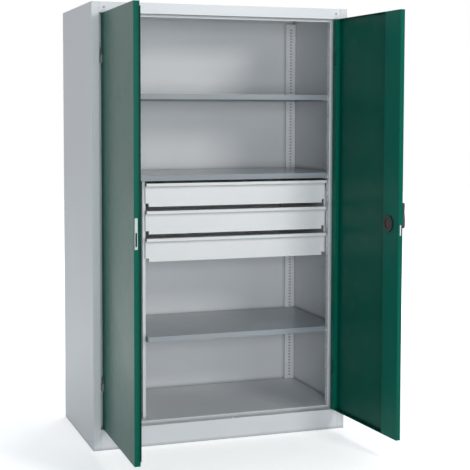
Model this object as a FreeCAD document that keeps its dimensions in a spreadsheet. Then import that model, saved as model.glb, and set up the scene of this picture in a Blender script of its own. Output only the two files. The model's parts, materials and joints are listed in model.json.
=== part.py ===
"""Storage cabinet with two doors, three shelves and three drawers, in millimetres.

X runs to the right, Y to the back and Z up. The origin is on the floor, in the middle of the carcass.
"""
import FreeCAD, Part
import math
import os
import Sketcher

doc = FreeCAD.newDocument("storage_cabinet")
sheet = doc.addObject("Spreadsheet::Sheet", "sizes")
subparts = []


class Size:
    """A size as the sheet's expression for it, with its present number."""

    def __init__(self, text, number):
        self.text = text
        self.number = number

    def joined(self, sign, other, number):
        return Size(f"({self.text} {sign} {as_size(other).text})", number)

    def __add__(self, other):
        return self.joined("+", other, self.number + as_size(other).number)

    def __sub__(self, other):
        return self.joined("-", other, self.number - as_size(other).number)

    def __mul__(self, other):
        return self.joined("*", other, self.number * as_size(other).number)

    def __truediv__(self, other):
        return self.joined("/", other, self.number / as_size(other).number)

    def __rsub__(self, other):
        return as_size(other) - self

    def __neg__(self):
        return self * -1

    __radd__ = __add__
    __rmul__ = __mul__


def as_size(value):
    return value if isinstance(value, Size) else Size(repr(float(value)), float(value))


def number(value):
    return as_size(value).number


def size(alias, number):
    """Write one driving dimension in the sheet's next row."""
    row = len(size.rows) + 1
    size.rows.append(alias)
    sheet.set(f"A{row}", alias)
    sheet.set(f"B{row}", str(number))
    sheet.setAlias(f"B{row}", alias)
    return Size(f"sizes.{alias}", float(number))


size.rows = []

# Carcass
cab_width = size("cab_width", 1200)
cab_depth = size("cab_depth", 600)
cab_height = size("cab_height", 1950)
gauge = size("gauge", 1.2)
stile = size("stile", 33)
stop_depth = size("stop_depth", 35)
stop_width = size("stop_width", 35)
rear_flange = size("rear_flange", 18)
fascia_height = size("fascia_height", 46)
fascia_lip = size("fascia_lip", 12)
fascia_hole_inset = size("fascia_hole_inset", 55)
fascia_hole_radius = size("fascia_hole_radius", 3.5)
top_flange = size("top_flange", 20)
seam = size("seam", 0.5)
plinth_height = size("plinth_height", 92)
floor_depth = size("floor_depth", 13)

# Slotted rails, shelves and their clips
rail_depth = size("rail_depth", 26)
rear_rail_width = size("rear_rail_width", 50)
rear_rail_depth = size("rear_rail_depth", 12)
rail_top_gap = size("rail_top_gap", 5)
slot_first = size("slot_first", 21)
slot_pitch = size("slot_pitch", 15)
slot_width = size("slot_width", 11)
slot_height = size("slot_height", 6)
shelf_thick = size("shelf_thick", 24)
shelf_play = size("shelf_play", 1.5)
shelf_inset = size("shelf_inset", 38)
top_shelf_slot = size("top_shelf_slot", 94)
middle_shelf_slot = size("middle_shelf_slot", 70)
lower_shelf_slot = size("lower_shelf_slot", 22)
clip_gauge = size("clip_gauge", 2)
clip_width = size("clip_width", 9)
clip_ledge = size("clip_ledge", 24)
clip_hook = size("clip_hook", 7)
clip_stand = size("clip_stand", 16)

# Doors and hinges
door_gap = size("door_gap", 3)
centre_gap = size("centre_gap", 3)
pivot_inset = size("pivot_inset", 12)
pivot_back = size("pivot_back", 1)
left_leaf_depth = size("left_leaf_depth", 25)
right_leaf_depth = size("right_leaf_depth", 20)
left_open = size("left_open", 91)
right_open = size("right_open", 94)
closing_channel = size("closing_channel", 118)
hinge_channel = size("hinge_channel", 35)
cover_reach = size("cover_reach", 9.5)
cover_seat = size("cover_seat", 18)
lower_hinge = size("lower_hinge", 264)
upper_hinge_drop = size("upper_hinge_drop", 210)
knuckle_length = size("knuckle_length", 32)
knuckle_radius = size("knuckle_radius", 6)
pin_radius = size("pin_radius", 3)
pin_play = size("pin_play", 0.05)
knuckle_gap = size("knuckle_gap", 0.2)
hinge_plate = size("hinge_plate", 3)
hinge_plate_play = size("hinge_plate_play", 0.8)
hinge_notch = size("hinge_notch", 9)
hinge_notch_depth = size("hinge_notch_depth", 12)
hinge_notch_play = size("hinge_notch_play", 2)

# Lock, handle and rods
lock_inset = size("lock_inset", 76)
lock_height = size("lock_height", 1008)
case_width = size("case_width", 70)
case_height = size("case_height", 120)
case_depth = size("case_depth", 14)
slide_play = size("slide_play", 0.3)
rod_inset = size("rod_inset", 50.5)
rod_side = size("rod_side", 8)
rod_depth = size("rod_depth", 9)
rod_entry = size("rod_entry", 8)
rod_tip = size("rod_tip", 1)
rod_socket_play = size("rod_socket_play", 2)
guide_spread = size("guide_spread", 420)
guide_height = size("guide_height", 24)
guide_width = size("guide_width", 16)
bolt_height = size("bolt_height", 44)
bolt_thick = size("bolt_thick", 6)
bolt_length = size("bolt_length", 54)
bolt_drop = size("bolt_drop", 23)
keeper_height = size("keeper_height", 122)
keeper_width = size("keeper_width", 12)
keeper_thick = size("keeper_thick", 1)
keeper_slot_play = size("keeper_slot_play", 5)
inner_rose_radius = size("inner_rose_radius", 35)
inner_rose_thick = size("inner_rose_thick", 5)
inner_rose_dish = size("inner_rose_dish", 22)
outer_rose_width = size("outer_rose_width", 44)
outer_rose_height = size("outer_rose_height", 64)
outer_rose_corner = size("outer_rose_corner", 8)
outer_rose_thick = size("outer_rose_thick", 6)
spindle_side = size("spindle_side", 8)
spindle_hole = size("spindle_hole", 6.5)
cam_reach = size("cam_reach", 20)
cam_width = size("cam_width", 12)
cam_thick = size("cam_thick", 4)
boss_radius = size("boss_radius", 17)
boss_height = size("boss_height", 22)
lever_width = size("lever_width", 24)
lever_reach = size("lever_reach", 87)
lever_foot = size("lever_foot", 23)
lever_stand = size("lever_stand", 54)
lever_thick = size("lever_thick", 16)
lever_round = size("lever_round", 5)
cylinder_radius = size("cylinder_radius", 8)
cylinder_length = size("cylinder_length", 20)
cylinder_proud = size("cylinder_proud", 1.5)
keyway_width = size("keyway_width", 1.6)
keyway_height = size("keyway_height", 9)
keyway_depth = size("keyway_depth", 8)

# Drawers, their slides and what carries them
side_bay = size("side_bay", 189)
drawer_gap = size("drawer_gap", 3)
drawer_height = size("drawer_height", 105)
drawer_pitch = size("drawer_pitch", 123)
drawer_top_gap = size("drawer_top_gap", 12)
drawer_face_back = size("drawer_face_back", 72)
drawer_gauge = size("drawer_gauge", 1)
lip_height = size("lip_height", 13)
lip_reach = size("lip_reach", 22)
face_foot = size("face_foot", 14)
face_play = size("face_play", 1)
notch_width = size("notch_width", 16)
notch_height = size("notch_height", 15)
tray_inset = size("tray_inset", 15)
tray_depth = size("tray_depth", 496)
tray_low = size("tray_low", 10)
tray_height = size("tray_height", 87)
slide_space = size("slide_space", 13)
slide_height = size("slide_height", 45)
slide_level = size("slide_level", 45)
slide_length = size("slide_length", 498)
slide_gauge = size("slide_gauge", 1.5)
slide_nest = size("slide_nest", 1)
slide_setback = size("slide_setback", 6)
partition_thick = size("partition_thick", 14)
carrier_margin = size("carrier_margin", 12)
doc.recompute()

half = cab_width / 2
front = -cab_depth / 2
back = cab_depth / 2
stop_face = front + stop_depth
stile_edge = half - stile
stop_edge = stile_edge - stop_width
fascia_bottom = cab_height - fascia_height
floor_top = plinth_height + floor_depth
back_face = back - 2 * gauge
rear_rail_face = back_face - rear_rail_depth
front_rail_back = stop_face + gauge + rail_depth
shelf_front = front + shelf_inset
shelf_rear = rear_rail_face - shelf_play


def bind(target, path, value):
    """Tie one property of an object to its size in the sheet."""
    target.setExpression(path, as_size(value).text)


def new_body(label):
    body = doc.addObject("PartDesign::Body", label)
    body.Label = label
    return body


def new_sketch(body, plane, level):
    """An empty sketch square to an axis of the body, at a level along that axis."""
    sketch = body.newObject("Sketcher::SketchObject", "sketch")
    origin = [item for item in body.Origin.OriginFeatures if item.Role == f"{plane}_Plane"][0]
    sketch.AttachmentSupport = (origin, [""])
    sketch.MapMode = "FlatFace"
    bind(sketch, "AttachmentOffset.Base.z", -as_size(level) if plane == "XZ" else level)
    return sketch


def add_loop(sketch, corners):
    """Add a closed loop of straight lines whose corners are each held by two sizes."""
    first = sketch.GeometryCount
    count = len(corners)
    points = [FreeCAD.Vector(as_size(x).number, as_size(y).number, 0) for x, y in corners]
    sketch.addGeometry([Part.LineSegment(points[i], points[(i + 1) % count]) for i in range(count)])
    for i in range(count):
        following = first + (i + 1) % count
        sketch.addConstraint(Sketcher.Constraint("Coincident", first + i, 2, following, 1))
    for i, (corner, point) in enumerate(zip(corners, points)):
        for kind, value, now in (("DistanceX", corner[0], point.x), ("DistanceY", corner[1], point.y)):
            held = sketch.addConstraint(Sketcher.Constraint(kind, -1, 1, first + i, 1, now))
            bind(sketch, f"Constraints[{held}]", value)


def outline(body, plane, level, *loops):
    sketch = new_sketch(body, plane, level)
    for corners in loops:
        add_loop(sketch, corners)
    return sketch


def circle(body, plane, level, x, y, radius):
    sketch = new_sketch(body, plane, level)
    centre = FreeCAD.Vector(as_size(x).number, as_size(y).number, 0)
    sketch.addGeometry(Part.Circle(centre, FreeCAD.Vector(0, 0, 1), as_size(radius).number))
    for kind, value, now in (("DistanceX", x, centre.x), ("DistanceY", y, centre.y)):
        held = sketch.addConstraint(Sketcher.Constraint(kind, -1, 1, 0, 3, now))
        bind(sketch, f"Constraints[{held}]", value)
    held = sketch.addConstraint(Sketcher.Constraint("Radius", 0, as_size(radius).number))
    bind(sketch, f"Constraints[{held}]", radius)
    return sketch


def sweep_up(body, kind, sketch, length):
    """Pad or pocket a sketch along the positive direction of its axis."""
    feature = body.newObject(f"PartDesign::{kind}", kind.lower())
    feature.Profile = sketch
    bind(feature, "Length", length)
    along_y = "XZ" in sketch.AttachmentSupport[0][0].Role
    feature.Reversed = along_y if kind == "Pad" else not along_y
    sketch.Visibility = False
    return feature


def pad(body, sketch, length):
    return sweep_up(body, "Pad", sketch, length)


def pocket(body, sketch, length):
    return sweep_up(body, "Pocket", sketch, length)


def box_corners(x0, x1, y0, y1):
    return [(x0, y0), (x1, y0), (x1, y1), (x0, y1)]


def centred(x, y, wide, tall):
    return box_corners(x - wide / 2, x + wide / 2, y - tall / 2, y + tall / 2)


def edge_normals(corners, turn):
    """The unit normal of each straight run, on its left for turn 1 and on its right for turn -1."""
    normals = []
    for (x0, y0), (x1, y1) in zip(corners, corners[1:]):
        run_x = as_size(x1).number - as_size(x0).number
        run_y = as_size(y1).number - as_size(y0).number
        length = math.hypot(run_x, run_y)
        normals.append((round(-run_y / length) * turn, round(run_x / length) * turn))
    return normals


def folded(path, thick, turn):
    """The outline of a sheet folded square along a path, with its thickness to one side."""
    normals = edge_normals(path, turn)
    inner = []
    for i, (x, y) in enumerate(path):
        met = normals[max(i - 1, 0):i + 1]
        inner.append((x + thick * sum(n[0] for n in met), y + thick * sum(n[1] for n in met)))
    return path + inner[::-1]


def inset(corners, thick):
    """The same loop, one thickness further in; the corners run anticlockwise."""
    normals = edge_normals(corners + corners[:1], 1)
    moved = []
    for i, (x, y) in enumerate(corners):
        before, after = normals[i - 1], normals[i]
        moved.append((x + thick * (before[0] + after[0]), y + thick * (before[1] + after[1])))
    return moved


def keep(item, door=None):
    """List a finished sub-part, and hang it on its door's hinge line if it belongs to one."""
    if door:
        item.Placement.Rotation = FreeCAD.Rotation(FreeCAD.Vector(0, 0, 1), 1)
        bind(item, "Placement.Base.x", door["hand"] * pivot_x)
        bind(item, "Placement.Base.y", front + pivot_back)
        bind(item, "Placement.Rotation.Angle", door["hand"] * door["open"])
    subparts.append(item)
    return item


def group(label, items, door=None):
    """Like pieces kept as separate solids of one sub-part."""
    compound = doc.addObject("Part::Compound", label)
    compound.Label = label
    compound.Links = items
    return keep(compound, door)


def mirrored(source, label, centre):
    """The opposite hand of a piece, mirrored across a plane square to X."""
    twin = doc.addObject("Part::Mirroring", label)
    twin.Source = source
    twin.Normal = (1, 0, 0)
    bind(twin, "Base.x", centre)
    return twin


# Side panels: one sheet each, folded into rear flange, wall, stile, return and door stop
for name, hand in (("left", -1), ("right", 1)):
    side = new_body(f"{name}_side_panel")
    path = [
        (hand * (half - rear_flange), back),
        (hand * half, back),
        (hand * half, front),
        (hand * stile_edge, front),
        (hand * stile_edge, stop_face),
        (hand * stop_edge, stop_face),
    ]
    pad(side, outline(side, "XY", 0, folded(path, gauge, -hand)), cab_height)
    inner, outer = sorted((hand * stop_edge, hand * (half - gauge)), key=number)
    under_top = box_corners(inner, outer, front + gauge, stop_face + gauge)
    pocket(side, outline(side, "XY", cab_height - top_flange, under_top), top_flange)
    keep(side)

# Back panel, set in front of the rear flanges
back_panel = new_body("back_panel")
back_corners = box_corners(gauge - half, half - gauge, 0, cab_height)
pad(back_panel, outline(back_panel, "XZ", back_face, back_corners), gauge)
keep(back_panel)


def pan(label, corners, low, depth, thick, open_below):
    """A pressed tray: a plate with a rim, open below or above."""
    body = new_body(label)
    pad(body, outline(body, "XY", low, corners), depth)
    hollow = low if open_below else low + thick
    pocket(body, outline(body, "XY", hollow, inset(corners, thick)), depth - thick)
    return body


# Top panel and floor panel, each a pan open below
top_corners = box_corners(gauge - half, half - gauge, front + gauge, back_face)
keep(pan("top_panel", top_corners, cab_height - top_flange, top_flange, gauge, True))
floor_corners = box_corners(gauge - half, half - gauge, stop_face + gauge, back_face)
keep(pan("floor_panel", floor_corners, plinth_height, floor_depth, gauge, True))

# Pivot line of the doors, and where the rods meet the frame when the right door is shut
pivot_x = stile_edge - pivot_inset
leaf_end = pivot_x - centre_gap / 2
rod_x = pivot_x - (leaf_end - rod_inset)
rod_y = front + rod_depth
socket = centred(rod_x, rod_y, rod_side + 2 * rod_socket_play, rod_side + 2 * rod_socket_play)
rail_half = stile_edge - seam

# Top rail: fascia and return between the stiles, with a stop lip between the door stops
top_rail = new_body("top_rail")
rail_path = [(front, cab_height), (front, fascia_bottom), (stop_face, fascia_bottom)]
pad(top_rail, outline(top_rail, "YZ", -rail_half, folded(rail_path, gauge, 1)), 2 * rail_half)
lip_corners = box_corners(stop_face, stop_face + gauge, fascia_bottom - fascia_lip, fascia_bottom + gauge)
pad(top_rail, outline(top_rail, "YZ", -stop_edge, lip_corners), 2 * stop_edge)
pocket(top_rail, outline(top_rail, "XY", fascia_bottom, socket), gauge)
for hand in (-1, 1):
    hole_x = hand * (half - fascia_hole_inset)
    hole_z = cab_height - fascia_height / 2
    pocket(top_rail, circle(top_rail, "XZ", front, hole_x, hole_z, fascia_hole_radius), gauge)
keep(top_rail)

# Plinth frame: a ring that stands on the floor, wide between the stiles and narrow behind the stops
plinth = new_body("plinth_frame")
ring = [
    (-rail_half, front),
    (rail_half, front),
    (rail_half, stop_face),
    (stop_edge, stop_face),
    (stop_edge, back_face),
    (-stop_edge, back_face),
    (-stop_edge, stop_face),
    (-rail_half, stop_face),
]
pad(plinth, outline(plinth, "XY", 0, ring, inset(ring, gauge)), plinth_height)
ledge = box_corners(-rail_half, rail_half, front, stop_face)
pad(plinth, outline(plinth, "XY", plinth_height - gauge, ledge), gauge)
pocket(plinth, outline(plinth, "XY", plinth_height - gauge, socket), gauge)
keep(plinth)

# Slotted rails, one in each corner, from the floor panel to just under the top
# The front rails are punched at every second place, the rear rails at every one
front_step = 2
rear_step = 1
rail_length = cab_height - top_flange - rail_top_gap - floor_top
slot_count = int((rail_length - 2 * slot_first).number // slot_pitch.number) + 1
first_slot = floor_top + slot_first


def slotted(body, plane, level, centre, step):
    """Punch one slot and repeat it up the rail."""
    cut = pocket(body, outline(body, plane, level, centred(centre, first_slot, slot_width, slot_height)), gauge)
    up = [item for item in body.Origin.OriginFeatures if item.Role == "Z_Axis"][0]
    row = body.newObject("PartDesign::LinearPattern", "slots")
    row.Originals = [cut]
    row.Direction = (up, [""])
    row.Occurrences = (slot_count - 1) // step + 1
    bind(row, "Length", slot_pitch * step * (row.Occurrences - 1))
    body.Tip = row


front_slot_y = stop_face + gauge + rail_depth / 2
rear_slot_x = half - gauge - rear_rail_width / 2
for name, hand in (("left", -1), ("right", 1)):
    wall = hand * (half - gauge)
    rail = new_body(f"front_{name}_rail")
    face = hand * stop_edge
    path = [(face, stop_face + gauge), (face, front_rail_back), (wall, front_rail_back)]
    pad(rail, outline(rail, "XY", floor_top, folded(path, gauge, -hand)), rail_length)
    slotted(rail, "YZ", face if hand > 0 else face - gauge, front_slot_y, front_step)
    keep(rail)
    rail = new_body(f"rear_{name}_rail")
    edge = hand * (half - gauge - rear_rail_width)
    path = [(edge, back_face), (edge, rear_rail_face), (wall, rear_rail_face), (wall, back_face)]
    pad(rail, outline(rail, "XY", floor_top, folded(path, gauge, hand)), rail_length)
    slotted(rail, "XZ", rear_rail_face, hand * rear_slot_x, rear_step)
    keep(rail)

# Where the drawers and the pieces that carry them stand
drawer_left = side_bay - stop_edge
drawer_right = stop_edge - drawer_gap
drawer_width = drawer_right - drawer_left
drawer_centre = (drawer_left + drawer_right) / 2
tray_left = drawer_left + tray_inset
tray_right = drawer_right - tray_inset
carrier_left = tray_left - slide_space
carrier_right = tray_right + slide_space
face_y = front + drawer_face_back
carrier_front = face_y + slide_setback
shelf_side = half - gauge - shelf_play
notch_x = stop_edge - clip_ledge / 2
notch_y = front_rail_back + shelf_play


def clip_level(slot):
    """Top of a clip that sits on the lower edge of a numbered slot."""
    return first_slot + slot_pitch * slot - slot_height / 2 + clip_gauge


# Shelves: pans open below, notched round the front rails
wide_corners = [
    (-notch_x, shelf_front),
    (notch_x, shelf_front),
    (notch_x, notch_y),
    (shelf_side, notch_y),
    (shelf_side, shelf_rear),
    (-shelf_side, shelf_rear),
    (-shelf_side, notch_y),
    (-notch_x, notch_y),
]
narrow_corners = [
    (carrier_left + shelf_play, shelf_front),
    *wide_corners[1:5],
    (carrier_left + shelf_play, shelf_rear),
]
shelves = (
    ("top_shelf", top_shelf_slot, wide_corners),
    ("middle_shelf", middle_shelf_slot, wide_corners),
    ("lower_shelf", lower_shelf_slot, narrow_corners),
)
for label, slot, corners in shelves:
    keep(pan(label, corners, clip_level(slot), shelf_thick, gauge, True))


def front_clip(hand, slot):
    """A strip hooked through a front rail's slot, with an upright that holds the shelf's corner."""
    clip = new_body("front_clip")
    level = clip_level(slot)
    edge = hand * stop_edge
    rear = edge + hand * (gauge + clip_gauge)
    path = [(edge - hand * clip_ledge, level), (rear, level), (rear, level - clip_hook)]
    low = front_slot_y - clip_width / 2
    pad(clip, outline(clip, "XZ", low, folded(path, clip_gauge, -hand)), clip_width)
    corner = [edge - hand * shelf_play, hand * (notch_x + shelf_play)]
    left, right = sorted(corner, key=number)
    upright = box_corners(left, right, level - clip_gauge, level + clip_stand)
    pad(clip, outline(clip, "XZ", low, upright), clip_gauge)
    return clip


def rear_clip(hand, slot):
    """A strip hooked through a rear rail's slot."""
    clip = new_body("rear_clip")
    level = clip_level(slot)
    rear = rear_rail_face + gauge + clip_gauge
    path = [(rear_rail_face - clip_ledge, level), (rear, level), (rear, level - clip_hook)]
    low = hand * rear_slot_x - clip_width / 2
    pad(clip, outline(clip, "YZ", low, folded(path, clip_gauge, -1)), clip_width)
    return clip


def partition_clip(middle, slot):
    """An angle on the partition's face."""
    clip = new_body("partition_clip")
    level = clip_level(slot)
    path = [(carrier_left + clip_ledge, level), (carrier_left, level), (carrier_left, level - clip_ledge)]
    low = middle - clip_width / 2
    pad(clip, outline(clip, "XZ", low, folded(path, clip_gauge, 1)), clip_width)
    return clip


clips = []
for slot in (top_shelf_slot, middle_shelf_slot, lower_shelf_slot):
    for hand in (1,) if slot is lower_shelf_slot else (-1, 1):
        clips += [front_clip(hand, slot), rear_clip(hand, slot)]
clips += [partition_clip(end / 2, lower_shelf_slot) for end in (carrier_front, shelf_rear)]
group("shelf_clips", clips)

# Partition on the left of the drawers, from the floor panel to the middle shelf
partition = new_body("partition")
blind = carrier_left - partition_thick
path = [
    (blind, carrier_front),
    (carrier_left, carrier_front),
    (carrier_left, shelf_rear),
    (blind, shelf_rear),
]
partition_height = clip_level(middle_shelf_slot) - floor_top
pad(partition, outline(partition, "XY", floor_top, folded(path, gauge, 1)), partition_height)
keep(partition)


def drawer_foot(number_down):
    """Lower edge of a drawer front, counted down from the middle shelf."""
    first_foot = clip_level(middle_shelf_slot) - drawer_top_gap - drawer_height
    return first_foot - drawer_pitch * number_down


# Slide carrier on the right of the drawers, folded to reach the side wall
carrier = new_body("slide_carrier")
wall = half - gauge
path = [
    (wall, carrier_front),
    (carrier_right, carrier_front),
    (carrier_right, shelf_rear),
    (wall, shelf_rear),
]
carrier_low = drawer_foot(2) + slide_level - slide_height / 2 - carrier_margin
carrier_high = drawer_foot(0) + slide_level + slide_height / 2 + carrier_margin
carrier_outline = outline(carrier, "XY", carrier_low, folded(path, gauge, -1))
pad(carrier, carrier_outline, carrier_high - carrier_low)
keep(carrier)

# Doors: the leaf runs from its hinge line towards the middle of the cabinet
door_bottom = plinth_height + door_gap
door_top = fascia_bottom - door_gap
upper_hinge = door_top - upper_hinge_drop
hinge_end = door_gap - pivot_inset
skin = gauge - pivot_back
doors = (
    {"name": "left", "hand": -1, "open": left_open, "depth": left_leaf_depth},
    {"name": "right", "hand": 1, "open": right_open, "depth": right_leaf_depth},
)


def span(hand, reach_0, reach_1):
    """X of two distances from the hinge line along a shut leaf, lower one first."""
    return sorted((-hand * reach_0, -hand * reach_1), key=number)


def spindle_x(hand):
    return -hand * (leaf_end - lock_inset)


def door_panel(door):
    """The outer skin with returns on all four edges, notched round the hinges."""
    hand = door["hand"]
    body = new_body(f"{door['name']}_door_panel")
    x0, x1 = span(hand, hinge_end, leaf_end)
    blank = box_corners(x0, x1, -pivot_back, door["depth"] - pivot_back)
    pad(body, outline(body, "XY", door_bottom, blank), door_top - door_bottom)
    hollow = inset(box_corners(x0, x1, door_bottom, door_top), gauge)
    pocket(body, outline(body, "XZ", skin, hollow), door["depth"] - gauge)
    n0, n1 = span(hand, hinge_end, hinge_notch)
    for level in (lower_hinge, upper_hinge):
        notch = box_corners(n0, n1, -pivot_back, hinge_notch_depth - pivot_back)
        low = level - hinge_notch_play
        pocket(body, outline(body, "XY", low, notch), 2 * (knuckle_length + hinge_notch_play))
    return body


def add_channels(door):
    """The stiffening channels that close the leaf along its hinge edge and its closing edge."""
    hand = door["hand"]
    inner = door["depth"] - pivot_back
    low = door_bottom + gauge
    length = door_top - door_bottom - 2 * gauge
    for name, root, edge in (
        ("closing", leaf_end - closing_channel, leaf_end - gauge),
        ("hinge", hinge_end + hinge_channel, hinge_end + gauge),
    ):
        body = new_body(f"{door['name']}_door_{name}_channel")
        path = [(-hand * root, skin), (-hand * root, inner), (-hand * edge, inner)]
        turn = hand if name == "hinge" else -hand
        pad(body, outline(body, "XY", low, folded(path, gauge, -turn)), length)
        keep(body, door)


def knuckle(label, level, bore, arm):
    """A hinge barrel with its plate, bored for the pin."""
    body = new_body(label)
    pad(body, circle(body, "XY", level, 0, 0, knuckle_radius), knuckle_length - knuckle_gap)
    plate = box_corners(arm[0], arm[1], skin, skin + hinge_plate)
    pad(body, outline(body, "XY", level, plate), knuckle_length - knuckle_gap)
    pocket(body, circle(body, "XY", level, 0, 0, bore), knuckle_length)
    return body


for door in doors:
    hand = door["hand"]
    panel = door_panel(door)
    door["panel"] = panel
    keep(panel, door)
    add_channels(door)
    levels = (lower_hinge, upper_hinge)
    reach = span(hand, pin_radius, hinge_end + hinge_channel - gauge - hinge_plate_play)
    upper = [
        knuckle("door_knuckle", level + knuckle_length, pin_radius + pin_play, reach) for level in levels
    ]
    group(f"{door['name']}_door_knuckles", upper, door)
    reach = span(hand, -pin_radius, -pivot_inset)
    lower = [knuckle("frame_knuckle", level, pin_radius, reach) for level in levels]
    pins = []
    for level in levels:
        pin = new_body("hinge_pin")
        pad(pin, circle(pin, "XY", level, 0, 0, pin_radius), 2 * knuckle_length - knuckle_gap)
        pins.append(pin)
    frame_side = {"hand": hand, "open": as_size(0)}
    group(f"{door['name']}_frame_knuckles", lower, frame_side)
    group(f"{door['name']}_hinge_pins", pins, frame_side)

left_door, right_door = doors

# Left door: cover strip behind the right leaf, and the keeper plate for the latch bolt
bolt_middle = lock_height - bolt_drop
bolt_centre = rod_depth - pivot_back
cover = new_body("left_door_cover_strip")
inner = left_leaf_depth - pivot_back
cover_low = door_bottom + top_flange
cover_corners = box_corners(leaf_end - cover_seat, leaf_end + cover_reach, inner, inner + gauge)
pad(cover, outline(cover, "XY", cover_low, cover_corners), door_top - top_flange - cover_low)
keep(cover, left_door)

keeper = new_body("keeper_plate")
bolt_way = bolt_thick + 2 * slide_play
keeper_corners = centred(bolt_centre, lock_height, keeper_width, keeper_height)
slot_corners = centred(bolt_centre, bolt_middle, bolt_way, bolt_height + 2 * keeper_slot_play)
pad(keeper, outline(keeper, "YZ", leaf_end, keeper_corners, slot_corners), keeper_thick)
keep(keeper, left_door)
panel = left_door["panel"]
pocket(panel, outline(panel, "YZ", leaf_end - gauge, slot_corners), gauge)

# Right door: cut-outs for the spindle, the rods and the latch bolt
panel = right_door["panel"]
lock_x = spindle_x(1)
rod_local_x = rod_inset - leaf_end
rod_local_y = rod_depth - pivot_back
rod_way = rod_side + 2 * slide_play
rod_hole = centred(rod_local_x, rod_local_y, rod_way, rod_way)
pocket(panel, circle(panel, "XZ", -pivot_back, lock_x, lock_height, spindle_hole), gauge)
for level in (door_bottom, door_top - gauge):
    pocket(panel, outline(panel, "XY", level, rod_hole), gauge)
bolt_slot = centred(bolt_centre, bolt_middle, bolt_way, bolt_height + 2 * slide_play)
pocket(panel, outline(panel, "YZ", -leaf_end, bolt_slot), gauge)

# Lock case on the back of the skin, with ways for the rods and the bolt
case = new_body("lock_case")
case_low = lock_height - case_height / 2
case_corners = centred(lock_x, lock_height, case_width, case_height)
pad(case, outline(case, "XZ", skin, case_corners), case_depth)
pocket(case, outline(case, "XZ", skin, inset(case_corners, gauge)), case_depth - gauge)
for level in (case_low, case_low + case_height - gauge):
    pocket(case, outline(case, "XY", level, rod_hole), gauge)
pocket(case, outline(case, "YZ", lock_x - case_width / 2, bolt_slot), gauge)
keep(case, right_door)

# Roses: a dished round cover on the inside, a plate with cut corners under the handle on the outside
rose = new_body("inner_lock_rose")
rose_y = right_leaf_depth - pivot_back
pad(rose, circle(rose, "XZ", rose_y, lock_x, lock_height, inner_rose_radius), inner_rose_thick)
dish = circle(rose, "XZ", rose_y + inner_rose_thick / 2, lock_x, lock_height, inner_rose_dish)
pocket(rose, dish, inner_rose_thick / 2)
keep(rose, right_door)
rose = new_body("handle_rose")
rose_y = -pivot_back - outer_rose_thick
plate_corners = []
for way_x, way_z in ((-1, -1), (1, -1), (1, 1), (-1, 1)):
    corner_x = lock_x + way_x * outer_rose_width / 2
    corner_z = lock_height + way_z * outer_rose_height / 2
    cut = [(corner_x, corner_z - way_z * outer_rose_corner), (corner_x - way_x * outer_rose_corner, corner_z)]
    plate_corners += cut if way_x * way_z > 0 else cut[::-1]
pad(rose, outline(rose, "XZ", rose_y, plate_corners), outer_rose_thick)
pocket(rose, circle(rose, "XZ", rose_y, lock_x, lock_height, spindle_hole), outer_rose_thick)
keep(rose, right_door)

# Rod guides: grooved blocks on the skin, one over and one under the lock
guides = []
for way in (-1, 1):
    guide = new_body("rod_guide")
    low = lock_height + way * guide_spread - guide_height / 2
    rim = rod_local_y + guide_width / 2
    block = box_corners(rod_local_x - guide_width / 2, rod_local_x + guide_width / 2, skin, rim)
    pad(guide, outline(guide, "XY", low, block), guide_height)
    groove = box_corners(*(rod_hole[i][0] for i in (0, 1)), rod_hole[0][1], rim)
    pocket(guide, outline(guide, "XY", low, groove), guide_height)
    guides.append(guide)
group("rod_guides", guides, right_door)

# Handle: boss and raised lever, bored for the lock cylinder, and the spindle with its cam
lever = new_body("handle_lever")
boss_y = -pivot_back - outer_rose_thick - slide_play - boss_height
pad(lever, circle(lever, "XZ", boss_y, lock_x, lock_height, boss_radius), boss_height)
tip_y = -pivot_back - lever_stand
under_y = tip_y + lever_thick
lever_side = [
    (boss_y + lever_round, lock_height - lever_foot),
    (boss_y + lever_round, lock_height + lever_foot),
    (under_y, lock_height + 2 * lever_foot),
    (under_y, lock_height + lever_reach),
    (tip_y, lock_height + lever_reach),
    (tip_y, lock_height - lever_foot),
]
grip = pad(lever, outline(lever, "YZ", lock_x - lever_width / 2, lever_side), lever_width)
doc.recompute()


def long_lever_edges():
    """Outer edges of the lever, which the hand closes round."""
    names = []
    for i, edge in enumerate(grip.Shape.Edges):
        box = edge.BoundBox
        on_grip = box.YMax < under_y.number + lever_round.number
        straight = edge.Curve.TypeId == "Part::GeomLine"
        if straight and on_grip and box.XLength < lever_width.number / 2:
            names.append(f"Edge{i + 1}")
    return names


soft = lever.newObject("PartDesign::Fillet", "rounded_grip")
soft.Base = (grip, long_lever_edges())
bind(soft, "Radius", lever_round)
lever.Tip = soft
bore_y = tip_y - cylinder_proud
bore = circle(lever, "XZ", bore_y, lock_x, lock_height, cylinder_radius + pin_play)
pocket(lever, bore, cylinder_length + slide_play)
keep(lever, right_door)

spindle = new_body("handle_spindle")
spindle_end = skin + case_depth - 2 * gauge
spindle_start = boss_y + boss_height
shaft = outline(spindle, "XZ", spindle_start, centred(lock_x, lock_height, spindle_side, spindle_side))
pad(spindle, shaft, spindle_end - spindle_start)
cam = outline(spindle, "XZ", bolt_centre - cam_thick / 2, centred(lock_x, lock_height, 2 * cam_reach, cam_width))
pad(spindle, cam, cam_thick)
keep(spindle, right_door)

# Lock cylinder with its keyway, in the foot of the lever
lock = new_body("lock_cylinder")
pad(lock, circle(lock, "XZ", bore_y, lock_x, lock_height, cylinder_radius), cylinder_length)
keyway = centred(lock_x, lock_height, keyway_width, keyway_height)
pocket(lock, outline(lock, "XZ", bore_y, keyway), keyway_depth)
keep(lock, right_door)

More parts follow.
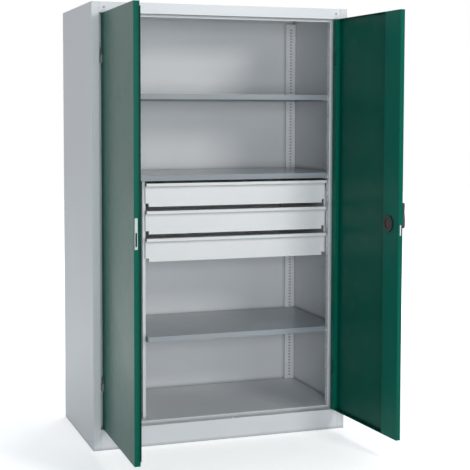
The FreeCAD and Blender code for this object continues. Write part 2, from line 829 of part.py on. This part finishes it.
# Rods and latch bolt, drawn back
for label, low, high in (
    ("upper_lock_rod", case_low + case_height - rod_entry, door_top - rod_tip),
    ("lower_lock_rod", door_bottom + rod_tip, case_low + rod_entry),
):
    rod = new_body(label)
    pad(rod, outline(rod, "XY", low, centred(rod_local_x, rod_local_y, rod_side, rod_side)), high - low)
    keep(rod, right_door)
bolt = new_body("latch_bolt")
bolt_corners = centred(bolt_centre, bolt_middle, bolt_thick, bolt_height)
pad(bolt, outline(bolt, "YZ", gauge / 2 - leaf_end, bolt_corners), bolt_length)
keep(bolt, right_door)


def drawer_front(label, foot):
    """One folded sheet: foot, face, grip lip and top flange, with notched lower corners."""
    body = new_body(label)
    low = drawer_left
    lip = foot + drawer_height - lip_height
    path = [
        (face_y + face_foot, foot),
        (face_y, foot),
        (face_y, lip),
        (face_y - lip_reach, lip),
        (face_y - lip_reach, foot + drawer_height),
        (carrier_front - face_play, foot + drawer_height),
    ]
    pad(body, outline(body, "YZ", low, folded(path, drawer_gauge, -1)), drawer_width)
    for x0, x1, inner in (
        (low, low + drawer_gauge, low + notch_width),
        (low + drawer_width - drawer_gauge, low + drawer_width, low + drawer_width - notch_width),
    ):
        flange = box_corners(x0, x1, foot, lip)
        pad(body, outline(body, "XZ", face_y, flange), slide_setback - face_play)
        n0, n1 = (x0, inner) if number(x0) < number(inner) else (inner, x1)
        notch = box_corners(n0, n1, foot, foot + notch_height)
        pocket(body, outline(body, "XZ", face_y, notch), face_foot)
    return body


def slide_member(label, foot, root, tip, tall):
    """A channel that lies between the carrier and the tray, as a left and a right one."""
    body = new_body(label)
    middle = foot + slide_level
    x_root = carrier_left + root
    x_tip = carrier_left + tip
    path = [(x_tip, middle + tall / 2), (x_root, middle + tall / 2)]
    path += [(x_root, middle - tall / 2), (x_tip, middle - tall / 2)]
    turn = 1 if root.number < tip.number else -1
    pad(body, outline(body, "XZ", carrier_front, folded(path, slide_gauge, turn)), slide_length)
    return group(label + "s", [body, mirrored(body, label + "_twin", drawer_centre)])


# Drawers from the top down, each with three nested pairs of slide channels
step_in = slide_gauge + slide_nest
step_down = 2 * (slide_gauge + slide_play)
for i in range(3):
    name = f"drawer_{i + 1}"
    foot = drawer_foot(i)
    keep(drawer_front(f"{name}_front", foot))
    tray_front = face_y + drawer_gauge
    tray_corners = box_corners(tray_left, tray_right, tray_front, tray_front + tray_depth)
    keep(pan(f"{name}_tray", tray_corners, foot + tray_low, tray_height, drawer_gauge, False))
    tip = slide_space - step_in
    slide_member(f"{name}_outer_slide", foot, as_size(0), tip - slide_nest, slide_height)
    slide_member(f"{name}_middle_slide", foot, step_in, tip, slide_height - step_down)
    slide_member(f"{name}_inner_slide", foot, slide_space, 2 * step_in, slide_height - 2 * step_down)

doc.recompute()
for item in doc.Objects:
    if "Invalid" in item.State or "Error" in item.State:
        raise RuntimeError(f"{item.Label} did not build: {item.State}")
    if item.TypeId == "PartDesign::Pocket" and item.Shape.Volume >= item.BaseFeature.Shape.Volume:
        raise RuntimeError(f"{item.Label} of {item.getParentGeoFeatureGroup().Label} cuts nothing")
for item in subparts:
    if item.Shape.isNull() or not item.Shape.isValid():
        raise RuntimeError(f"{item.Label} is not a valid shape")

os.makedirs("parts", exist_ok=True)
for item in subparts:
    item.Shape.exportStep(f"parts/{item.Label}.step")
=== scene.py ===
import json
import math

import bmesh
import bpy
from mathutils import Matrix, Vector


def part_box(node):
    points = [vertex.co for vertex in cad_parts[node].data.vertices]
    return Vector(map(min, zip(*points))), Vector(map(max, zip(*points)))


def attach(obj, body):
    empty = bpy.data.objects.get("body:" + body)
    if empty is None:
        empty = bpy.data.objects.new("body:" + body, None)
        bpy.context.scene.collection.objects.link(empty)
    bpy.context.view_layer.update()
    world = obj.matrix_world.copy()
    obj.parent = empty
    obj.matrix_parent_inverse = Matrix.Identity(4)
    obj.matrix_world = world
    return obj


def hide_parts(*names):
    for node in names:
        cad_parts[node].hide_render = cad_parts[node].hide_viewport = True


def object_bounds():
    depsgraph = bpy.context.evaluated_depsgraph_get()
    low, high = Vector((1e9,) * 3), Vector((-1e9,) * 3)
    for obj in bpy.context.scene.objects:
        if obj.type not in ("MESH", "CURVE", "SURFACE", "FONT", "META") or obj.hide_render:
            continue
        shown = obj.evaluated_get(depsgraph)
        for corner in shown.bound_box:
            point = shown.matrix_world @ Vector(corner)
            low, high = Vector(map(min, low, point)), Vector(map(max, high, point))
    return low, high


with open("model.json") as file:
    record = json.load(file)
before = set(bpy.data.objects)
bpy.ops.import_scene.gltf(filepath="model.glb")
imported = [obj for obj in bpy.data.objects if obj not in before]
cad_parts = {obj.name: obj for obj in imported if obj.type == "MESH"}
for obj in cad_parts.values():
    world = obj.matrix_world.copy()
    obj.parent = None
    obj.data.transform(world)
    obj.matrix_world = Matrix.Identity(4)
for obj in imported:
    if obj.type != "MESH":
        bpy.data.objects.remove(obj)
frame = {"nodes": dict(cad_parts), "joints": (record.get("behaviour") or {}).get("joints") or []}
nodes = frame["nodes"]
cad_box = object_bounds()


# The carcass is folded from sheet steel: two sides, a back, a top and a floor pan, a top rail and a plinth,
# with a partition and a slide carrier inside. The sheets are spot welded together, and the whole box is
# sprayed with light grey powder that bakes to a fine, even skin and runs a little thin on the folds. The
# colour is painted paler on the folds as a highlight, and painted darker in seams and corners as shade.
class Value:
    """A number or colour that changes over a surface. Sums on it add Math nodes to its finish."""

    def __init__(self, finish, socket):
        self.finish = finish
        self.socket = socket

    def out(self, name):
        return Value(self.finish, self.socket.node.outputs[name])

    def reckon(self, operation, first, second):
        return self.finish.node("ShaderNodeMath", {"operation": operation}, {0: first, 1: second})

    def __add__(self, other):
        return self.reckon("ADD", self, other)

    def __sub__(self, other):
        return self.reckon("SUBTRACT", self, other)

    def __rsub__(self, other):
        return self.reckon("SUBTRACT", other, self)

    def __mul__(self, other):
        return self.reckon("MULTIPLY", self, other)

    __radd__ = __add__
    __rmul__ = __mul__


class Finish:
    """The nodes of one material, or of the studio's world."""

    def __init__(self, owner):
        owner.use_nodes = True
        self.owner = owner
        self.tree = owner.node_tree

    def fill(self, node, values):
        for key, value in values.items():
            if isinstance(value, Value):
                self.tree.links.new(value.socket, node.inputs[key])
            else:
                node.inputs[key].default_value = value

    def node(self, kind, settings, values, output=0):
        made = self.tree.nodes.new(kind)
        for key, value in settings.items():
            setattr(made, key, value)
        self.fill(made, values)
        return Value(self, made.outputs[output])

    def blend(self, mask, first, second):
        """One colour going over into another."""
        return self.node("ShaderNodeMix", {"data_type": "RGBA"}, {0: mask, 6: first, 7: second}, 2)

    def surface(self, values):
        self.fill(self.tree.nodes["Principled BSDF"], values)


def tint(colour, share):
    """A colour made darker or paler, with full alpha."""
    return (*(min(1.0, part * share) for part in colour), 1.0)


def powder_coat(name, colour, roughness, peel_depth, shine=0.5):
    """Baked powder with clouds and orange peel, paler on folds (thin coat and a painted highlight) and with
    painted shade in seams.
    """
    coat = Finish(bpy.data.materials.new(name))
    place = coat.node("ShaderNodeTexCoord", {}, {}, "Object")
    cloud = coat.node("ShaderNodeTexNoise", {}, {"Vector": place, "Scale": 3.5, "Detail": 3.0})
    peel = coat.node("ShaderNodeTexNoise", {}, {"Vector": place, "Scale": 600.0, "Detail": 2.0})
    rounded = coat.node("ShaderNodeBevel", {"samples": 4}, {"Radius": 0.0016})
    flat = coat.node("ShaderNodeNewGeometry", {}, {}, "Normal")
    square = coat.node("ShaderNodeVectorMath", {"operation": "DOT_PRODUCT"}, {0: rounded, 1: flat}, "Value")
    fold = coat.node("ShaderNodeClamp", {}, {"Value": (1 - square) * 2})
    open_air = coat.node("ShaderNodeAmbientOcclusion", {"samples": 6}, {"Distance": 0.018}, "AO")
    dark_cloud = tint(colour, 0.95)
    pale_cloud = tint(colour, 1.05)
    painted_seam_shade = tint(colour, 0.2)
    pale_fold_highlight = tint(colour, 1.35)
    black = (0.0, 0.0, 0.0, 1.0)
    body = coat.blend(cloud, dark_cloud, pale_cloud)
    # Painted shade: the colour darkens towards near-black in seams, corners and recesses, by how closed in
    # they are.
    body = coat.blend(open_air, painted_seam_shade, body)
    body = coat.blend(peel, body, coat.blend(0.06, body, black))
    # Folds are paler: partly the coat running thin, partly a painted highlight.
    coat.surface({
        "Base Color": coat.blend(fold * 0.6, body, pale_fold_highlight),
        "Roughness": roughness + (cloud - 0.5) * 0.12 + (peel - 0.5) * 0.08,
        "Specular IOR Level": shine,
        "Normal": coat.node("ShaderNodeBump", {}, {
            "Strength": 0.2, "Distance": peel_depth, "Height": peel, "Normal": rounded,
        }),
    })
    return coat


def dress(finish, *names):
    """Give CAD nodes a finish."""
    for name in names:
        nodes[name].data.materials.clear()
        nodes[name].data.materials.append(finish.owner)


light_grey = powder_coat("light_grey_powder", (0.72, 0.73, 0.75), 0.42, 0.0005)
dress(light_grey, "left_side_panel", "right_side_panel", "back_panel", "top_panel", "top_rail")
dress(light_grey, "floor_panel", "plinth_frame", "partition", "slide_carrier")


# A slotted rail stands in each corner of the carcass. It is a strip of galvanised steel, punched at an
# even pitch and folded, then welded in, and the zinc shows as large soft crystals on it.
def galvanised(name, colour, crystal, roughness, metal=1.0):
    """Zinc on steel, with crystals a few millimetres wide that take the light differently."""
    zinc = Finish(bpy.data.materials.new(name))
    place = zinc.node("ShaderNodeTexCoord", {}, {}, "Object")
    bent = zinc.node("ShaderNodeTexNoise", {}, {"Vector": place, "Scale": 90.0, "Detail": 2.0}, "Color")
    edge = zinc.node("ShaderNodeMix", {"data_type": "VECTOR"}, {0: 0.004, 4: place, 5: bent}, 1)
    flake = zinc.node("ShaderNodeTexVoronoi", {}, {"Vector": edge, "Scale": crystal}, "Color")
    grade = zinc.node("ShaderNodeSeparateColor", {}, {"Color": flake}, "Red")
    drawn = zinc.node("ShaderNodeTexNoise", {}, {"Vector": place, "Scale": 420.0, "Detail": 3.0})
    zinc.surface({
        "Base Color": zinc.blend(grade, tint(colour, 0.95), tint(colour, 1.04)),
        "Metallic": metal,
        "Roughness": roughness + grade * 0.14 + (drawn - 0.5) * 0.1,
        "Normal": zinc.node("ShaderNodeBump", {}, {"Strength": 0.1, "Distance": 0.0002, "Height": drawn}),
    })
    return zinc


rail_zinc = galvanised("rail_zinc", (0.80, 0.81, 0.83), 140.0, 0.4, 0.15)
dress(rail_zinc, "front_left_rail", "front_right_rail", "rear_left_rail", "rear_right_rail")


# Each shelf is a shallow pan of sheet steel with its edges turned down. It is coated in a blue grey that
# is smoother than the carcass, so at a low angle it mirrors the wall behind it.
shelf_grey = powder_coat("shelf_blue_grey", (0.28, 0.31, 0.34), 0.2, 0.00005, 0.7)
dress(shelf_grey, "top_shelf", "middle_shelf", "lower_shelf")


# Four bent clips carry each shelf. They hook into the rails' slots and are bright with fresh zinc, like
# the slide members, the lock's inner works and the other small steel pieces.
bright_zinc = galvanised("bright_zinc", (0.66, 0.67, 0.68), 260.0, 0.26)
dress(bright_zinc, "shelf_clips")


# The doors are trays of sheet steel with a stiffening channel down each long edge. They are sprayed with
# a satin blue-green powder, and the left door has a cover strip that laps over the right one. The channels
# get a brighter copy of the same green, a painted highlight.
door_green = powder_coat("door_blue_green", (0.0, 0.104, 0.070), 0.26, 0.0004, 0.08)
dress(door_green, "left_door_panel", "left_door_cover_strip", "right_door_panel")
# A brighter copy of the door green for the channels: a painted highlight.
lit_channel_green = powder_coat("lit_channel_blue_green", (0.0, 0.135, 0.092), 0.34, 0.0004, 0.08)
for side in ("left", "right"):
    dress(lit_channel_green, f"{side}_door_closing_channel", f"{side}_door_hinge_channel")


# Two pin hinges carry each door. The frame's knuckle holds the pin and is dull bare steel, and the door's
# knuckle over it is blackened.
def moulded(name, colour, roughness):
    """A matt black skin with a fine grain, a little greyer in places that are rubbed."""
    skin = Finish(bpy.data.materials.new(name))
    place = skin.node("ShaderNodeTexCoord", {}, {}, "Object")
    grain = skin.node("ShaderNodeTexNoise", {}, {"Vector": place, "Scale": 1400.0, "Detail": 2.0})
    rub = skin.node("ShaderNodeTexNoise", {}, {"Vector": place, "Scale": 60.0, "Detail": 3.0})
    skin.surface({
        "Base Color": skin.blend(rub, tint(colour, 0.7), tint(colour, 1.6)),
        "Roughness": roughness + (rub - 0.5) * 0.2,
        "Normal": skin.node("ShaderNodeBump", {}, {"Strength": 0.25, "Distance": 0.0003, "Height": grain}),
    })
    return skin


black_steel = moulded("black_steel", (0.016, 0.016, 0.018), 0.42)
dress(black_steel, "left_door_knuckles", "right_door_knuckles")
dull_steel = galvanised("dull_steel", (0.17, 0.175, 0.17), 260.0, 0.5, 0.3)
dress(dull_steel, "left_frame_knuckles", "right_frame_knuckles")
dress(bright_zinc, "left_hinge_pins", "right_hinge_pins")


# Behind each hinge a small plate with cut corners is welded to the door's channel, and the peened end of
# the knuckle's arm shows as a low dome in its middle. They are sprayed with the door.
def upright(facing):
    """The directions of a piece that stands upright: across it, the way it faces, and up."""
    up = (0, 0, 1)
    return Matrix((facing.cross(up), facing, up)).transposed().to_4x4()


def wrap(mesh, rings):
    """Join each ring of points to the next."""
    for first, second in zip(rings, rings[1:]):
        for step in range(len(first)):
            after = (step + 1) % len(first)
            mesh.faces.new((first[step], first[after], second[after], second[step]))


def turned(mesh, seat, profile, steps):
    """Spin a profile of (radius, place along the axis) round the way the seat faces."""
    angles = [2 * math.pi * step / steps for step in range(steps)]
    rings = []
    for radius, along in profile:
        spots = [(radius * math.cos(angle), along, radius * math.sin(angle)) for angle in angles]
        rings.append([mesh.verts.new(seat @ Vector(spot)) for spot in spots])
    wrap(mesh, rings)
    return rings


def piece(name, mesh, finish, body, smooth=True):
    """Turn a finished mesh into a piece that rides on its body."""
    bmesh.ops.recalc_face_normals(mesh, faces=mesh.faces)
    data = bpy.data.meshes.new(name)
    mesh.to_mesh(data)
    mesh.free()
    data.polygons.foreach_set("use_smooth", [smooth] * len(data.polygons))
    data.materials.append(finish.owner)
    made = bpy.data.objects.new(name, data)
    bpy.context.scene.collection.objects.link(made)
    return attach(made, body)


knuckle_length = 0.032
plate_half_width = 0.0115
plate_half_height = 0.031
plate_offset = 0.0052
plate_cut = 0.004
plate_sunk = 0.0002
plate_thick = 0.0028
plate_bevel = 0.0008
plate_layers = [(0.0, -plate_sunk), (0.0, plate_thick - plate_bevel), (plate_bevel, plate_thick)]
dome_radius = 0.008
dome_steps = 24
dome_profile = [
    (dome_radius, plate_thick),
    (dome_radius * 0.95, plate_thick + 0.0005),
    (dome_radius * 0.7, plate_thick + 0.0010),
    (dome_radius * 0.2, plate_thick + 0.0012),
]
square_on = 0.9
for side, way in (("left", 1), ("right", -1)):
    channel = nodes[f"{side}_door_hinge_channel"].data
    webs = [face for face in channel.polygons if face.normal.x * way > square_on]
    leaf = upright(max(webs, key=lambda face: face.area).normal)
    spots = [leaf.inverted() @ corner.co for corner in channel.vertices]
    middle = (min(spot.x for spot in spots) + max(spot.x for spot in spots)) / 2
    web_depth = max(spot.y for spot in spots)
    low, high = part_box(f"{side}_door_knuckles")
    plates = bmesh.new()
    for level in (low.z, high.z - knuckle_length):
        seat = leaf.copy()
        seat.translation = leaf @ Vector((middle + way * plate_offset, web_depth, level))
        layers = []
        for inset, along in plate_layers:
            wide, tall = plate_half_width - inset, plate_half_height - inset
            corners = [
                (wide, tall - plate_cut),
                (wide - plate_cut, tall),
                (plate_cut - wide, tall),
                (-wide, tall - plate_cut),
            ]
            corners += [(-x, -z) for x, z in corners]
            layers.append([plates.verts.new(seat @ Vector((x, along, z))) for x, z in corners])
        wrap(plates, layers)
        plates.faces.new(layers[0])
        plates.faces.new(layers[-1])
        dome = turned(plates, seat, dome_profile, dome_steps)
        plates.faces.new(dome[-1])
    piece(f"{side}_door_hinge_plates", plates, door_green, f"{side}_door", smooth=False)


# The lock sits in the right door: a folded case on the skin, two square rods with their guides, and a
# bolt that enters the keeper on the left door's edge. All of it is zinc plated steel, and the keeper is
# the dullest.
satin_steel = galvanised("satin_steel", (0.40, 0.46, 0.45), 260.0, 0.5, 0.35)
dress(satin_steel, "keeper_plate")
dress(bright_zinc, "lock_case", "latch_bolt", "upper_lock_rod", "lower_lock_rod")
dress(bright_zinc, "handle_spindle", "rod_guides")


# A dished round cover closes the lock on the inside of the door, and an eight-sided plate lies under the
# handle on the outside. Both are moulded in black plastic, and the dish has a brownish floor.
turn = next(joint for joint in frame["joints"] if joint["name"] == "handle_turn")
inward = Vector(turn["axis"]).normalized()
lock_seat = upright(inward)
lock_seat.translation = turn["pos_m"]

dish_radius = 0.022
rim_black = (0.010, 0.010, 0.011, 1.0)
dish_brown = (0.030, 0.013, 0.012, 1.0)
cover_plastic = moulded("cover_plastic", (0.014, 0.014, 0.015), 0.36)
cover_place = cover_plastic.node("ShaderNodeTexCoord", {}, {}, "Object")
arm = cover_plastic.node("ShaderNodeVectorMath", {"operation": "SUBTRACT"}, {
    0: cover_place, 1: tuple(turn["pos_m"]),
})
off_axis = cover_plastic.node("ShaderNodeVectorMath", {"operation": "CROSS_PRODUCT"}, {
    0: arm, 1: tuple(inward),
})
reach = cover_plastic.node("ShaderNodeVectorMath", {"operation": "LENGTH"}, {0: off_axis}, "Value")
in_dish = reach.reckon("LESS_THAN", reach, dish_radius)
cover_plastic.surface({"Base Color": cover_plastic.blend(in_dish, rim_black, dish_brown)})
dress(cover_plastic, "inner_lock_rose")
handle_plastic = moulded("handle_plastic", (0.015, 0.015, 0.016), 0.44)
dress(handle_plastic, "handle_rose")


# The handle is a plastic lever, moulded in one with the round boss behind it. Its outer face is crowned,
# and its grip draws in beyond the boss and swells again at the tip, so that fingers get hold of it.
def squared(part, power=0.55):
    """Push a sine or cosine outward, so that a ring comes nearer to a rounded rectangle."""
    return math.copysign(abs(part) ** power, part)


solid = [lock_seat.inverted() @ corner.co for corner in nodes["handle_lever"].data.vertices]
lever_low = Vector(map(min, *solid))
lever_high = Vector(map(max, *solid))
outer_face = lever_low.y
grip_thick = 0.016
half_width = lever_high.x

# Each station of the grip: its height from the lock's axis, its share of the width, and where its outer
# and inner faces lie behind the lever's outermost face
stations = [
    (lever_low.z, 0.45, 0.0050, 0.0110),
    (lever_low.z + 0.0012, 0.72, 0.0024, 0.0140),
    (lever_low.z + 0.0045, 0.92, 0.0006, grip_thick),
    (-0.0120, 1.00, 0.0002, grip_thick),
    (0.0120, 1.00, 0.0000, grip_thick),
    (0.0230, 0.97, 0.0002, grip_thick),
    (0.0330, 0.90, 0.0012, 0.0142),
    (0.0480, 0.86, 0.0022, 0.0132),
    (0.0640, 0.88, 0.0018, 0.0134),
    (0.0760, 0.92, 0.0008, 0.0148),
    (lever_high.z - 0.0045, 0.88, 0.0008, 0.0156),
    (lever_high.z - 0.0012, 0.70, 0.0026, 0.0142),
    (lever_high.z, 0.44, 0.0052, 0.0114),
]
ring_points = 20
grip = bmesh.new()
grip_rings = []
for height, share, outer, inner in stations:
    ring = []
    for step in range(ring_points):
        angle = 2 * math.pi * step / ring_points
        across = squared(math.cos(angle)) * share * half_width
        depth = (outer + inner) / 2 + squared(math.sin(angle)) * (inner - outer) / 2
        ring.append(grip.verts.new(lock_seat @ Vector((across, outer_face + depth, height))))
    grip_rings.append(ring)
wrap(grip, grip_rings)
grip.faces.new(grip_rings[0])
grip.faces.new(grip_rings[-1])
round_steps = 40
boss_radius = 0.017
boss_rings = turned(grip, lock_seat, [
    (boss_radius - 0.0035, outer_face + 0.0120),
    (boss_radius - 0.0030, outer_face + 0.0165),
    (boss_radius - 0.0012, outer_face + 0.0190),
    (boss_radius, outer_face + 0.0225),
    (boss_radius, lever_high.y - 0.0012),
    (boss_radius - 0.0010, lever_high.y),
], round_steps)
grip.faces.new(boss_rings[0])
grip.faces.new(boss_rings[-1])
handle_grip = piece("handle_grip", grip, handle_plastic, "handle")
smoothing = handle_grip.modifiers.new("smoothing", "SUBSURF")
smoothing.levels = smoothing.render_levels = 1
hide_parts("handle_lever")


# The lock's cylinder turns in the handle and is polished nickel, with a slot for the key. A thin turned
# collar of the same metal rings it.
polished = Finish(bpy.data.materials.new("polished_nickel"))
polish_place = polished.node("ShaderNodeTexCoord", {}, {}, "Object")
swirl = polished.node("ShaderNodeTexNoise", {}, {"Vector": polish_place, "Scale": 1800.0, "Detail": 3.0})
breath = polished.node("ShaderNodeTexNoise", {}, {"Vector": polish_place, "Scale": 120.0, "Detail": 2.0})
polished.surface({
    "Base Color": polished.blend(breath, (0.70, 0.70, 0.69, 1.0), (0.84, 0.84, 0.83, 1.0)),
    "Metallic": 1.0,
    "Roughness": 0.12 + breath * 0.12 + (swirl - 0.5) * 0.08,
    "Normal": polished.node("ShaderNodeBump", {}, {"Strength": 0.06, "Distance": 0.0001, "Height": swirl}),
})
dress(polished, "lock_cylinder")
cylinder_radius = 0.008
collar = bmesh.new()
turned(collar, lock_seat, [
    (cylinder_radius + 0.0003, outer_face + 0.0010),
    (cylinder_radius + 0.0003, outer_face - 0.0008),
    (cylinder_radius + 0.0009, outer_face - 0.0012),
    (cylinder_radius + 0.0020, outer_face - 0.0008),
    (cylinder_radius + 0.0024, outer_face + 0.0010),
], round_steps)
piece("lock_collar", collar, polished, "handle")


# A drawer is a deep tray with a front whose top edge is rolled out to a full-width pull. Both are folded
# from thin sheet and sprayed a satin near-white.
near_white = powder_coat("drawer_near_white", (0.80, 0.80, 0.81), 0.36, 0.0003)
drawers = (1, 2, 3)
for number in drawers:
    dress(near_white, f"drawer_{number}_front", f"drawer_{number}_tray")


# Each drawer runs on a pair of telescopic slides: an outer member on the carcass, a middle one that goes
# half as far, and an inner one that four round-headed rivets hold to the tray. They are bright zinc.
rivets_per_side = 4
rivet_radius = 0.0045
rivet_rise = 0.0014
rivet_first = 0.036
rivet_pitch = 0.142
rivet_steps = 16
rivet_profile = [
    (rivet_radius, 0.0),
    (rivet_radius * 0.92, rivet_rise * 0.5),
    (rivet_radius * 0.62, rivet_rise * 0.86),
    (rivet_radius * 0.22, rivet_rise),
]
member_depth = 0.0065
for number in drawers:
    members = [f"drawer_{number}_{place}_slides" for place in ("outer", "middle", "inner")]
    dress(bright_zinc, *members)
    low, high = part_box(f"drawer_{number}_inner_slides")
    heads = bmesh.new()
    for way, web in ((-1, low.x + member_depth), (1, high.x - member_depth)):
        for count in range(rivets_per_side):
            seat = Matrix.Rotation(way * math.pi / -2, 4, "Z")
            seat.translation = (web, low.y + rivet_first + count * rivet_pitch, (low.z + high.z) / 2)
            head = turned(heads, seat, rivet_profile, rivet_steps)
            heads.faces.new(head[-1])
    piece(f"drawer_{number}_rivets", heads, bright_zinc, f"drawer_{number}")


# The cabinet stands on a plain pale floor that runs off to white. The floor keeps the shadow near the
# cabinet, and what the eye sees of it is lifted towards white with the distance.
def seen_directly(finish):
    """1 where the eye looks straight at a thing, or sees it in gloss or through glass."""
    ray = finish.node("ShaderNodeLightPath", {}, {}, "Is Camera Ray")
    return ray + ray.out("Is Transmission Ray") + ray.out("Is Glossy Ray")


floor_half = 14.0
floor_gap = 0.0005
ground = bmesh.new()
bmesh.ops.create_grid(ground, x_segments=2, y_segments=2, size=floor_half)
floor_mesh = bpy.data.meshes.new("pale_floor")
ground.to_mesh(floor_mesh)
ground.free()
floor = bpy.data.objects.new("pale_floor", floor_mesh)
floor.location.z = cad_box[0].z - floor_gap
bpy.context.scene.collection.objects.link(floor)
pale = Finish(bpy.data.materials.new("pale_floor"))
floor_place = pale.node("ShaderNodeTexCoord", {}, {}, "Object")
dust = pale.node("ShaderNodeTexNoise", {}, {"Vector": floor_place, "Scale": 4.0, "Detail": 3.0})
away = pale.node("ShaderNodeVectorMath", {"operation": "LENGTH"}, {0: floor_place}, "Value")
fade = pale.node("ShaderNodeMapRange", {"interpolation_type": "SMOOTHSTEP"}, {
    "Value": away, "From Min": 0.8, "From Max": 1.9, "To Min": 0.5, "To Max": 1.0,
})
pale.surface({
    "Base Color": pale.blend(dust, (0.85, 0.85, 0.85, 1.0), (0.88, 0.88, 0.88, 1.0)),
    "Roughness": 0.8,
    "Specular IOR Level": 0.0,
    "Emission Color": seen_directly(pale) * fade,
    "Emission Strength": 1.0,
})
floor_mesh.materials.append(pale.owner)


# The studio: pale bluish surroundings that look white to the eye and in gloss, a small lamp high in front
# to the right, a broad one behind the camera, and soft filling lamps on both sides, behind and above.
studio_world = bpy.data.worlds.new("studio")
bpy.context.scene.world = studio_world
studio = Finish(studio_world)
around = 0.3
showing = seen_directly(studio)
studio.fill(studio.tree.nodes["Background"], {
    "Color": studio.blend(showing, (0.82, 0.92, 1.0, 1.0), (1.0, 1.0, 1.0, 1.0)),
    "Strength": around + showing * (1.0 - around),
})


def lamp(name, place, aim, wide, tall, watts, colour, in_gloss=True):
    """A flat lamp that faces the point it is aimed at. A filling lamp leaves no glare in gloss."""
    light = bpy.data.lights.new(name, "AREA")
    light.shape = "RECTANGLE"
    light.size, light.size_y = wide, tall
    light.energy = watts
    light.color = colour
    stand = bpy.data.objects.new(name, light)
    stand.location = place
    stand.rotation_euler = (Vector(aim) - Vector(place)).to_track_quat("-Z", "Y").to_euler()
    stand.visible_glossy = in_gloss
    bpy.context.scene.collection.objects.link(stand)


warm_white = (1.0, 0.98, 0.95)
cool_white = (0.95, 0.98, 1.0)
blue_white = (0.93, 0.97, 1.0)
lamp("crisp_lamp", (1.5, -3.9, 2.65), (0.0, 0.0, 1.0), 0.7, 0.7, 46.0, warm_white)
lamp("broad_lamp", (-0.9, -6.2, 1.5), (0.0, 0.0, 1.0), 2.6, 1.6, 138.0, cool_white)
lamp("side_lamp", (-4.5, -1.5, 2.2), (-0.6, 0.0, 1.0), 2.0, 2.0, 12.0, blue_white, in_gloss=False)
lamp("rear_lamp", (2.8, 4.6, 2.6), (0.0, 0.0, 0.9), 2.0, 2.0, 72.0, cool_white, in_gloss=False)
lamp("right_lamp", (5.0, 0.8, 2.2), (0.6, 0.2, 1.0), 2.0, 2.0, 30.0, cool_white, in_gloss=False)
lamp("top_lamp", (0.2, 1.2, 5.0), (0.0, 0.2, 1.9), 2.0, 2.0, 45.0, cool_white, in_gloss=False)


# The camera stands to the left at chest height and looks a little down, with its lens shifted down and
# across to take the whole cabinet in.
lens = bpy.data.cameras.new("camera")
lens.sensor_width = 36.0
lens.lens = 85.271
lens.shift_x = 0.0957
lens.shift_y = -0.1064
tilt_down = 0.0627
turn_right = 0.3156
camera = bpy.data.objects.new("camera", lens)
camera.location = (-1.6834, -4.972, 1.4655)
camera.rotation_euler = (math.pi / 2 - tilt_down, 0.0, -turn_right)
bpy.context.scene.collection.objects.link(camera)
bpy.context.scene.camera = camera
bpy.context.scene.view_settings.view_transform = "Standard"
